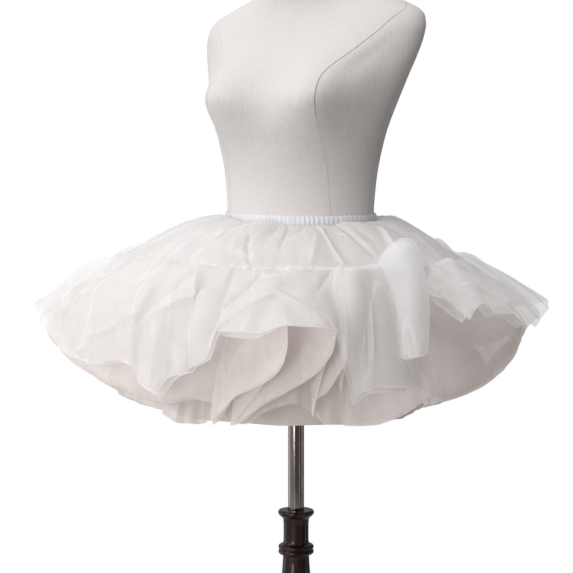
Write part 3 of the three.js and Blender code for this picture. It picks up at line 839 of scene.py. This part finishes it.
# Middle ruffle
# A longer strip of two layers, gathered on to the lining above the inner one. At
# the front its hem climbs in three long petals that lap over each other like
# shingles.
MIDDLE_HEM = table(
    UNDER_HEM,
    [
        (-180, -180, 296, -284, 0, 0.3), (-165, -165, 306, -262, 0, 0.3),
        (-150, -150, 306, -272, 0, 0.3), (-135, -135, 326, -250, 0, 0.3),
        (-120, -120, 346, -234, 0, 0.5), (-106, -106, 366, -206, 0, 0.5),
        (-90, -90, 388, -180, 0, 0.5), (-74, -74, 372, -212, 0.5, 0.9),
        (-60, -60, 352, -237, 0.8, 1), (-48, -48, 336, -254, 0.8, 1),
        (-39, -38, 312, -266, 0.6, 0.8), (-33, -30, 294, -256, 0.6, 0.3),
        (-30, -21.5, 280, -264, 1, 0), (-27.5, -24.8, 292, -279, 1, 0),
        (-25, -22.6, 295, -271, 1, 0), (-23, -21, 297, -264, 1, 0), (-19, -16.8, 303, -241, 1, 0),
        (-15, -9, 309, -220, 1, 0), (-12, -5.4, 315, -206, 1, 0), (-10, -3, 320, -186, 1, 0),
        (-8.8, -2, 322, -160, 1, 0), (-7.5, -8, 296, -215, 1, 0), (-6, -19.4, 283, -285, 1, 0),
        (-4, -16.4, 285, -279, 1, 0), (0, -9.6, 291, -251, 1, 0), (4, -2, 299, -229, 1, 0),
        (7, 3.9, 306, -211, 1, 0), (9, 7.5, 312, -191, 1, 0), (10.5, 9.6, 316, -170, 1, 0),
        (11.5, 10.3, 318, -146, 1, 0), (13, 7, 294, -215, 1, 0), (14.5, 4.7, 280, -275, 1, 0),
        (16, 5.2, 283, -250, 1, 0), (18, 8.6, 291, -234, 1, 0), (20, 11.4, 300, -210, 1, 0),
        (21.5, 13, 306, -192, 1, 0), (23, 14, 308, -172, 1, 0), (25, 13, 284, -240, 1, 0),
        (27, 15, 282, -283, 0.8, 0), (31, 22, 290, -284, 0.6, 0), (36, 29, 306, -272, 0.6, 0),
        (42, 37, 318, -250, 0.8, 0), (47, 43, 320, -263, 0.8, 0.6), (57, 57, 330, -254, 0.9, 1),
        (72, 72, 350, -216, 0.8, 1), (82, 82, 352, -190, 0.5, 0.6), (96, 96, 360, -190, 0, 0.5),
        (109, 109, 352, -210, 0, 0.5), (122, 122, 340, -232, 0, 0.5),
        (136, 136, 322, -256, 0, 0.3), (150, 150, 306, -274, 0, 0.3),
        (165, 165, 302, -258, 0, 0.3),
    ],
)


def middle_surface(angle, v):
    return sewn_ruffle(angle, v, MIDDLE_HEM, MIDDLE_SEAM, 26, 8, 1.4, 31)


# painted shade: the same organza tinted warmer and pinker than the outer, for the warm shade under
# the outer ruffle
warm_shaded_middle_cloth = organza("middle_organza_warm_shade", 0.72, (0.93, 0.893, 0.88), (0.885, 0.845, 0.828))
middle = tube("middle_ruffle_cloth", middle_surface, 1400, np.linspace(0, CURLED, 58),
              warm_shaded_middle_cloth, "middle_ruffle")


MIDDLE_UNDER = 6  # how far the second layer lies inside the first
MIDDLE_UNEVEN = 7  # how much its hem wanders up and down


def middle_under_surface(angle, v):
    point = sewn_ruffle(angle, v, MIDDLE_HEM, MIDDLE_SEAM, 26, 5, 2.0, 36)
    inward = place(angle, MIDDLE_UNDER, -WAIST) * ease(v * 2)[..., None]
    lower = place(angle, 0, -WAIST + MIDDLE_UNEVEN * v**2 * ripple(angle, 39, 5, 13))
    return point - inward + lower


middle_under = tube("middle_ruffle_second", middle_under_surface, 900,
                    np.linspace(0, CURLED, 38), warm_shaded_middle_cloth, "middle_ruffle")

# Yoke
# One gathered tier from the casing down to the seam of the outer ruffle. It
# puffs up at the sides, and crowded gathers run up and down from both its seams.
YOKE_REACH = 255
YOKE_GATHERS = 28
# crest is a fold's middle at the hem, lean how far its top lies from that and
# width its half width, all in degrees; out is how far it stands off the cloth.
YOKE_FOLDS = table(
    "crest lean width out",
    [
        (-160, 14, 12, 4), (-128, -12, 11, 5), (-97, 16, 12, 4), (-62, 46, 9, 7),
        (-44, 30, 9, 5), (-20, -12, 10, 3), (2, 16, 10, 3), (26, 8, 9, 4), (52, -14, 10, 5),
        (78, -22, 11, 5), (112, 12, 12, 5), (146, -10, 12, 4), (171, 8, 11, 4),
    ],
)
# A crease runs from start to end down the fall. Below 0 it lies in the cloth.
YOKE_CREASES = table(
    "crest lean width out start end",
    [
        (-172, 6, 1.6, -4, 0.2, 1.1), (-151, -12, 1.6, 4, 0.3, 1.1), (-133, 8, 1.6, -5, 0.1, 0.9),
        (-116, -6, 1.6, 4, 0.3, 1.1), (-101, 14, 1.6, -4, 0.2, 1), (-84, 10, 1.6, 4, 0.3, 1.1),
        (-70, 18, 1.6, -4, 0.1, 0.8), (-58, -4, 1.5, 4, 0.4, 1.1), (-50, 4, 1.5, -5, 0.3, 1.1),
        (-38, -10, 1.5, 4, 0.2, 0.9), (-28, 6, 1.5, -3, 0.4, 1.1), (-14.5, -28, 1.4, -6, 0.45, 1.1),
        (-8, 2, 1.4, -4, 0.1, 0.8), (4, 14, 1.5, 3, 0.4, 1.1), (17, -2, 1.5, 5, 0.1, 1.1),
        (30, 0, 1.6, -5, 0.1, 0.9), (41, 12, 1.5, 4, 0.3, 1.1), (53, -6, 1.5, -4, 0.2, 1),
        (63, 8, 1.4, 4, 0.5, 1.1), (71, -10, 1.4, -4, 0.4, 1.1), (84, 6, 1.5, 4, 0.2, 0.9),
        (97, -8, 1.6, -4, 0.3, 1.1), (112, 10, 1.6, 4, 0.1, 0.9), (129, -8, 1.6, -5, 0.3, 1.1),
        (144, 12, 1.6, 4, 0.2, 1), (161, -6, 1.6, -4, 0.1, 0.8),
    ],
)
CASING_FACE = CASING_CLEARANCE + 0.8 * CASING_THICKNESS + GATHER_DEPTH


def seam_height(angle):
    """The height of the yoke's lower seam, which dips at the right and the front."""
    a = np.radians(angle)
    return -63.5 - 5.5 * np.sin(a) - 5 * np.cos(a)


def creased(creases, angle, v):
    """How far long narrow creases in a table stand off the cloth, or lie in it."""
    out = 0
    for crease in creases:
        crest = crease["crest"] + crease["lean"] * (1 - v)
        away = np.abs((angle - crest + 180) % 360 - 180) / crease["width"]
        middle = 0.5 * (crease["start"] + crease["end"])
        along = np.abs(v - middle) / (crease["end"] - middle)
        sharp = np.maximum(0, 1 - 0.5 * away) ** 2.5
        out = out + crease["out"] * ease(2 - 2 * along) * sharp
    return out


def yoke_surface(angle, v):
    a = np.radians(angle)
    waist = form_radius(angle, -CASING_HEIGHT) + CASING_FACE + SEAM_GAP
    puff = -CASING_HEIGHT + 27 * np.sin(a) ** 2
    seam = seam_height(angle)
    b = (1 - v) ** 3, 3 * v * (1 - v) ** 2, 3 * v * v * (1 - v), v**3
    radius = b[0] * waist + b[1] * (waist + 14) + b[2] * (waist + 78) + b[3] * YOKE_REACH
    height = -CASING_HEIGHT * b[0] + b[1] * puff + b[2] * (seam + 36) + b[3] * seam
    belly = np.sin(np.pi * np.clip(v, 0, 1)) ** 0.6
    wave = 0.8 * np.cos(YOKE_GATHERS * a + 1.3 * np.sin(3 * a)) * (1 - v) * belly
    top = 1.1 * np.exp(-v / 0.12) * ripple(angle, 41, 80, 120, 1, v)
    low = 1.4 * np.exp(-((1 - v) / 0.12)) * billow(angle, 42, 26, 54, 2, v)
    soft = 4 * belly * ripple(angle, 44, 3, 9, 5, v)
    fine = 0.5 * belly * ripple(angle, 43, 18, 44, 7, v)
    ends = np.minimum(1, 12 * v) * np.minimum(1, 9 * (1 - v))
    side = 0
    out = wave + (top + low) * ends + soft + fine + creased(YOKE_CREASES, angle, v) * ends
    for fold in YOKE_FOLDS:
        away = (angle - fold["crest"] - fold["lean"] * (1 - v) + 180) % 360 - 180
        away = np.clip(away / fold["width"], -1, 1)
        out = out + fold["out"] * belly * (0.5 + 0.5 * np.cos(np.pi * away))
        side = side + 0.5 * fold["out"] * belly * np.sin(np.pi * away)
    return place(angle + np.degrees(side / radius), radius, height + out - 2 * belly)


yoke_cloth = organza("yoke_organza", 0.8, PURE_WHITE, SOFT_WHITE, hemmed=0)
yoke = tube("yoke_tier", yoke_surface, 1000, np.linspace(0, 1, 52), yoke_cloth, "yoke")

# Outer ruffle
# The widest strip, of two layers of organza gathered on to the yoke's hem and
# left to stand out in big soft folds. One at the right of the front rises over
# the seam like a finger.
OUTER_HEM = table(
    "at angle reach height",
    [
        (-180, -180, 338, -212), (-166, -166, 330, -238), (-152, -152, 346, -206),
        (-139, -139, 340, -226), (-124, -124, 366, -192), (-108, -108, 384, -164),
        (-90, -90, 393, -152), (-76, -76, 388, -172), (-66, -66, 374, -198),
        (-59, -59, 366, -207), (-52.5, -53, 362, -210), (-46, -46, 356, -199),
        (-42, -42, 354, -204), (-38, -38.6, 346, -232), (-35, -35.4, 344, -238),
        (-32, -32, 342, -218), (-27, -27, 339, -211), (-23, -23, 338, -200),
        (-21, -21.4, 340, -190), (-19, -19, 344, -149), (-10, -10, 348, -152),
        (-2, -2, 350, -142), (6, 6, 347, -143), (9, 9.4, 330, -149), (11, 11.2, 326, -172),
        (13, 13, 326, -200), (15, 15, 322, -244), (17.5, 17.4, 322, -236),
        (21, 20.6, 323, -231), (25, 27.5, 320, -234), (27.5, 34.5, 313, -241),
        (29.5, 27.4, 330, -186), (32, 30, 335, -191), (34.5, 32.8, 332, -184),
        (36, 34.2, 320, -160), (38, 35.6, 302, -112), (41, 39.6, 292, -90),
        (43.5, 43.6, 318, -106), (45.5, 46.4, 346, -140), (49, 49.6, 350, -128),
        (54, 54, 354, -136), (60, 60, 367, -138), (64, 64, 375, -158), (70, 70, 378, -164),
        (77, 77, 384, -150), (90, 90, 389, -141), (106, 106, 380, -156), (122, 122, 362, -184),
        (137, 137, 346, -216), (150, 150, 352, -190), (165, 165, 334, -230),
    ],
)
# As in the yoke's folds. Besides, taper narrows a fold to the hem, top is where it
# starts, rise how soon it is full, and turn and bulge push it and its sides over.
OUTER_FOLDS = table(
    "crest lean width taper out top rise turn bulge",
    [
        (-171, 3, 8, 0, 22, 0, 0.3, 0, 0.4), (-154, -2, 7, 0, 15, 0.2, 0.4, 4, 0.4),
        (-140, 3, 7, 0, 24, 0, 0.2, -8, 0.5), (-127, 0, 6, 0, 12, 0.2, 0.4, 0, 0.4),
        (-113, -3, 7, 0, 14, 0.1, 0.4, 5, 0.4), (-100, 4, 6, 0, 10, 0.2, 0.4, 0, 0.4),
        (-88, 32, 6, 0, 15, 0.15, 0.3, -6, 0.5), (-77, 20, 5, 0, 10, 0.1, 0.3, 4, 0.4),
        (-66, 6, 6, 0, 9, 0.3, 0.4, 0, 0.4), (-51, -9, 6, 0, 13, 0.38, 0.1, -6, 0.5),
        (-44, 2, 5, 0, 9, 0.2, 0.3, 4, 0.4), (-36, 3, 7, 0, 15, 0.3, 0.3, 6, 0.4),
        (-29, -3, 4, 0, 6, 0.1, 0.3, 0, 0.4), (-22.5, -2, 4.5, 0, 15, 0.3, 0.2, -9, 0.5),
        (-13, 8, 6, 0, 8, 0.1, 0.3, 4, 0.3), (-4, 0, 10, 0, 9, 0.45, 0.25, 0, 0.2),
        (4, -4, 5, 0, 6, 0.2, 0.4, 0, 0.2), (12.8, 7, 7, 0.68, 22, 0.04, 0.26, -8, 0.3),
        (24, 1, 4, 0, 6, 0.05, 0.3, 0, 0.4), (33, 1, 5.8, 0.55, 57, -0.04, 0.09, 3, 0.35),
        (42, 6, 5.5, 0, -20, 0.02, 0.15, 0, 0), (49.5, 9, 4.5, 0, 18, 0, 0.2, -8, 0.45),
        (66, -3, 3.5, 0, 12, 0.15, 0.2, -4, 0.5), (80, 2, 6, 0, 9, 0.2, 0.4, 0, 0.4),
        (92, 0, 6, 0, 8, 0.2, 0.4, 0, 0.4), (105, 2, 6, 0, 12, 0.1, 0.3, 6, 0.4),
        (118, 0, 7, 0, 16, 0.2, 0.4, 0, 0.4), (131, -3, 7, 0, 24, 0, 0.2, -8, 0.5),
        (146, 0, 7, 0, 14, 0.2, 0.4, 0, 0.4), (160, 3, 7, 0, 18, 0.05, 0.3, 5, 0.5),
        (175, 0, 6, 0, 12, 0.2, 0.4, 0, 0.4),
    ],
)
OUTER_CREASES = table(
    "crest lean width out start end",
    [
        (-93, 16, 1.8, 6, 0.2, 1.3), (-88, 34, 2, 8, 0.05, 1.3), (-84, 38, 1.8, 7, 0.25, 1.3),
        (-80, 40, 1.8, 5, 0.4, 1.3), (-63, 66, 1.8, 6, 0.35, 1.3), (-47, 20, 1.8, -6, 0.1, 0.75),
        (-60, 8, 1.1, 4, 0.75, 1.4), (-57, 10, 1.2, 4, 0.7, 1.4), (-54, 6, 1, 4, 0.8, 1.4),
        (-36, 3, 1.4, 5, 0.5, 1.3), (-24, -8, 2, 6, 0.1, 0.95), (-23, 14.5, 2, -7, 0.1, 0.95),
        (-20, 30, 1.6, 5, 0.45, 1.2), (9.5, -28, 1.6, 5, 0.4, 1.2), (-3, 16, 1.6, -4, 0.05, 0.5),
        (17.5, 1, 1.1, 5, 0.3, 0.9), (19, -1, 1.1, -5, 0.3, 0.95), (20.5, 0, 1.1, 4, 0.4, 0.9),
        (25, 0, 1.5, -4, 0.3, 0.85), (31, 2, 1.3, 4, 0.4, 1.2), (56, 8, 3, -12, 0.2, 0.9),
        (61, 12, 1.4, 5, 0.02, 0.9), (74, 3, 1.5, 3, 0.3, 1), (88, -6, 1.5, 3, 0.4, 1),
        (101, 14, 1.5, 4, 0.1, 0.9), (114, -8, 1.5, 3, 0.3, 1), (126, 10, 1.6, -4, 0.1, 0.8),
        (139, 5, 1.5, 4, 0.4, 1.3), (152, -12, 1.6, 5, 0.1, 0.9), (168, 8, 1.5, 4, 0.2, 1),
        (-176, -6, 1.5, -4, 0.1, 0.8), (-162, 12, 1.5, 5, 0.3, 1.3), (-147, -8, 1.5, 5, 0.1, 0.8),
        (-134, 7, 1.5, 4, 0.4, 1), (-119, 16, 1.5, 5, 0.1, 0.9), (-107, -6, 1.5, 4, 0.3, 1),
    ],
)
HELD = 0.06  # the share of the fall that the seam holds flat
LAP = 8  # how far the ruffle's top edge laps in over the yoke
LAP_RISE = 6  # and how far up
SECOND_UNDER = 7  # how far the second layer lies inside the first


def falling(seam, hem, v):
    """A tier's profile. Where it hangs deep it stays out before it turns down."""
    deep = ease((seam[1] - hem[1] - 80) / 90)
    pull = (
        seam[0] + (hem[0] - seam[0]) * (0.55 + 0.4 * deep),
        seam[1] + (hem[1] - seam[1]) * (0.4 - 0.28 * deep),
    )
    return bend(seam[0], pull[0], hem[0], v), bend(seam[1], pull[1], hem[1], v)


def outer_surface(angle, v, seed=50, under=0, big=1.0):
    """The outer ruffle, or its second layer so far under it, with its folds as big
    as a share of the first layer's."""
    drawn = 2.4 * ripple(angle, seed + 8, 9, 30)
    seam = YOKE_REACH - LAP + drawn, seam_height(angle) + LAP_RISE - 0.6 * drawn - 0.3 * under
    uneven = under * ripple(angle, seed + 9, 5, 14)
    hem = (
        around(OUTER_HEM, "reach", angle) - 1.2 * under,
        around(OUTER_HEM, "height", angle) - 0.5 * under + uneven,
    )
    radius, height = falling(seam, hem, v)
    far, deep = falling(seam, hem, v + 0.02)
    slope = np.arctan2(height - deep, far - radius)
    out = 0
    side = 0
    for fold in OUTER_FOLDS:
        thin = 1 - fold["taper"] * v
        grow = big * ease((v - fold["top"]) / fold["rise"]) * (1 - 0.3 * v) * thin
        crest = fold["crest"] + fold["lean"] * (1 - v)
        width = fold["width"] * thin
        away = np.clip(((angle - crest + 180) % 360 - 180) / width, -1, 1)
        rise = (0.5 + 0.5 * np.cos(np.pi * away)) ** 1.25
        out = out + fold["out"] * grow * rise
        spread = fold["bulge"] * fold["out"] * np.sin(np.pi * away)
        side = side + grow * (fold["turn"] * rise + spread)
    out = out + creased(OUTER_CREASES, angle, v)
    held = ease(v / HELD)
    crowded = np.clip(0.3 + 0.7 * ripple(angle, seed, 3, 8), 0.05, 1.2)
    side_on = 0.6 + 0.4 * np.cos(np.radians(angle))
    swell = (0.1 + 0.7 * billow(angle, seed + 1, 6, 15, 3, v)) * side_on
    puff = 9 * np.exp(-(((v - 0.14) / 0.11) ** 2)) * swell
    pucker = np.exp(-(((v - 0.05) / 0.06) ** 2)) * ripple(angle, seed + 2, 60, 100, 3, v)
    tuck = 2.6 * crowded * pucker
    soft = 5 * np.sin(np.pi * np.clip(v, 0, 1) ** 0.8) * ripple(angle, seed + 3, 4, 14, 6, v)
    crush = 1.0 * v * (1.3 - v) * ripple(angle, seed + 4, 16, 40, 9, v)
    frill = 1.5 * v**4 * ripple(angle, seed + 5, 26, 60, 1.5, v)
    out = (out + crush + frill + soft + puff) * held + tuck * ease(v / 0.02) - under * ease(v / 0.2)
    side = side * held + 0.8 * frill
    direction = angle + (around(OUTER_HEM, "angle", angle) - angle) * v + np.degrees(side / radius)
    return place(direction, radius + out * np.sin(slope), height + out * np.cos(slope))


outer_cloth = organza("outer_organza", 0.56, PURE_WHITE, SOFT_WHITE, lapped=0.02)
outer_rows = np.linspace(0, 1, 70) ** 1.15
outer = tube("outer_ruffle_cloth", outer_surface, 1420, outer_rows, outer_cloth, "outer_ruffle")


def second_surface(angle, v):
    return outer_surface(angle, v, seed=70, under=SECOND_UNDER, big=0.85)


second = tube("outer_ruffle_second", second_surface, 1000, np.linspace(0, 1, 46) ** 1.15,
              outer_cloth, "outer_ruffle")

# Studio
# A pale round floor that fades into a white surround, soft lights at the left, in
# front and overhead, four tall strips that draw lines down the pole and the wood,
# and the camera a little above the waist. Its sizes are in metres.
FLOOR_REACH = 2.3
WHITE_FROM = 1.75
WHITE_TO = 2.1
DIM_SIDE = 0.16
BRIGHT_SIDE = 0.62
STRIP_HEIGHT = 2.6
STRIP_AWAY = 2.7
STRIP_UP = 0.35
CAMERA_LENS = 130
CAMERA_AWAY = 3.2
CAMERA_HEIGHT = (WAIST + 170) * MM
VIEW_HEIGHT = (WAIST - 115) * MM
VIEW_ASIDE = -0.015


def studio_floor():
    finish = new_finish("studio_floor")
    spot = finish.place()
    far = finish.add("ShaderNodeVectorMath", {"operation": "LENGTH"}, {0: spot}, output=1)
    dust = finish.noise(spot, 30, 4)
    colour = finish.blend(dust, (0.65, 0.615, 0.58), (0.68, 0.645, 0.61))
    floor = finish.skin({"Base Color": colour, "Roughness": 0.7})
    clear = finish.add("ShaderNodeBsdfTransparent", None, {"Color": (1, 1, 1, 1)})
    share = far.clamped(WHITE_FROM, WHITE_TO)
    return finish.close(finish.add("ShaderNodeMixShader", None, {0: share, 1: floor, 2: clear}))


def make_floor():
    angle = np.linspace(0, 2 * math.pi, 64, endpoint=False)[None]
    radius = np.array([0.001, 0.3, 1.2, FLOOR_REACH])[:, None]
    grid = np.stack([radius * np.cos(angle), radius * np.sin(angle), 0 * radius * angle], -1)
    mesh = bpy.data.meshes.new("floor")
    faces = quads(*grid.shape[:2])[:, ::-1]
    mesh.from_pydata(grid.reshape(-1, 3).tolist(), [], faces.tolist())
    mesh.materials.append(studio_floor())
    put("floor", mesh)


def hang_light(name, spot, way, settings):
    """An area light at a spot, which shines one way."""
    data = bpy.data.lights.new(name, "AREA")
    for key, value in settings.items():
        setattr(data, key, value)
    light = put(name, data)
    light.location = spot
    light.rotation_euler = way.to_track_quat("-Z", "Y").to_euler()


def soft_light(name, spot, size, watts, colour):
    settings = {"shape": "DISK", "size": size, "energy": watts, "color": colour}
    hang_light(name, spot, waist - spot, settings)


def strip_light(name, degrees, width, watts):
    """A tall narrow light, at an angle round the object from the camera."""
    turn = math.radians(degrees)
    side = toward * math.cos(turn) + right * math.sin(turn)
    settings = {"shape": "RECTANGLE", "size": width, "size_y": STRIP_HEIGHT, "energy": watts}
    hang_light(name, side * STRIP_AWAY + rise * STRIP_UP, -side, settings)


def white_surround(bright_side):
    """White to the camera. To everything else it is dim, and lighter at one side."""
    world = bpy.data.worlds.new("surround")
    bpy.context.scene.world = world
    finish = Finish(world)
    way = finish.add("ShaderNodeTexCoord", output="Generated")
    facing = finish.add("ShaderNodeVectorMath", {"operation": "DOT_PRODUCT"},
                        {0: way, 1: bright_side}, output=1)
    glow = DIM_SIDE + (BRIGHT_SIDE - DIM_SIDE) * facing.clamped(-0.5, 0.95)
    cast = finish.add("ShaderNodeBackground", None, {"Color": (0.97, 0.98, 1, 1), "Strength": glow})
    seen = finish.add("ShaderNodeBackground", None, {"Color": (1, 1, 1, 1)})
    camera_ray = finish.add("ShaderNodeLightPath", output="Is Camera Ray")
    mix = finish.add("ShaderNodeMixShader", None, {0: camera_ray, 1: cast, 2: seen})
    finish.close(mix, "ShaderNodeOutputWorld")


view_turn = math.radians(RUFFLE_TURN)
toward = Vector((math.sin(view_turn), -math.cos(view_turn), 0))
right = Vector((math.cos(view_turn), math.sin(view_turn), 0))
rise = Vector((0, 0, 1))
make_floor()
white_surround((rise * 0.45 - right * 0.85 - toward * 0.3).normalized())
waist = WAIST * MM * rise
soft_light("key", toward * 1.2 - right * 2.8 + rise * 2.0, 1.8, 36, (1, 0.995, 0.985))
soft_light("top", rise * 3.3 - right * 0.1 + toward * 0.6, 2.2, 45, (1, 0.995, 0.99))
soft_light("front", toward * 3.1 - right * 1.7 + rise * 0.8, 1.6, 44, (1, 0.985, 0.97))
strip_light("strip_far_left", -108, 0.5, 8)
strip_light("strip_left", -26, 0.1, 1.6)
strip_light("strip_right", 50, 0.1, 1.9)
strip_light("strip_far_right", 97, 0.25, 5)

camera_data = bpy.data.cameras.new("camera")
camera_data.lens = CAMERA_LENS
camera_data.sensor_width = 36
camera = put("camera", camera_data)
camera.location = toward * CAMERA_AWAY + CAMERA_HEIGHT * rise
view = VIEW_ASIDE * right + VIEW_HEIGHT * rise - camera.location
camera.rotation_euler = view.to_track_quat("-Z", "Y").to_euler()
bpy.context.scene.camera = camera
bpy.context.scene.view_settings.view_transform = "Standard"
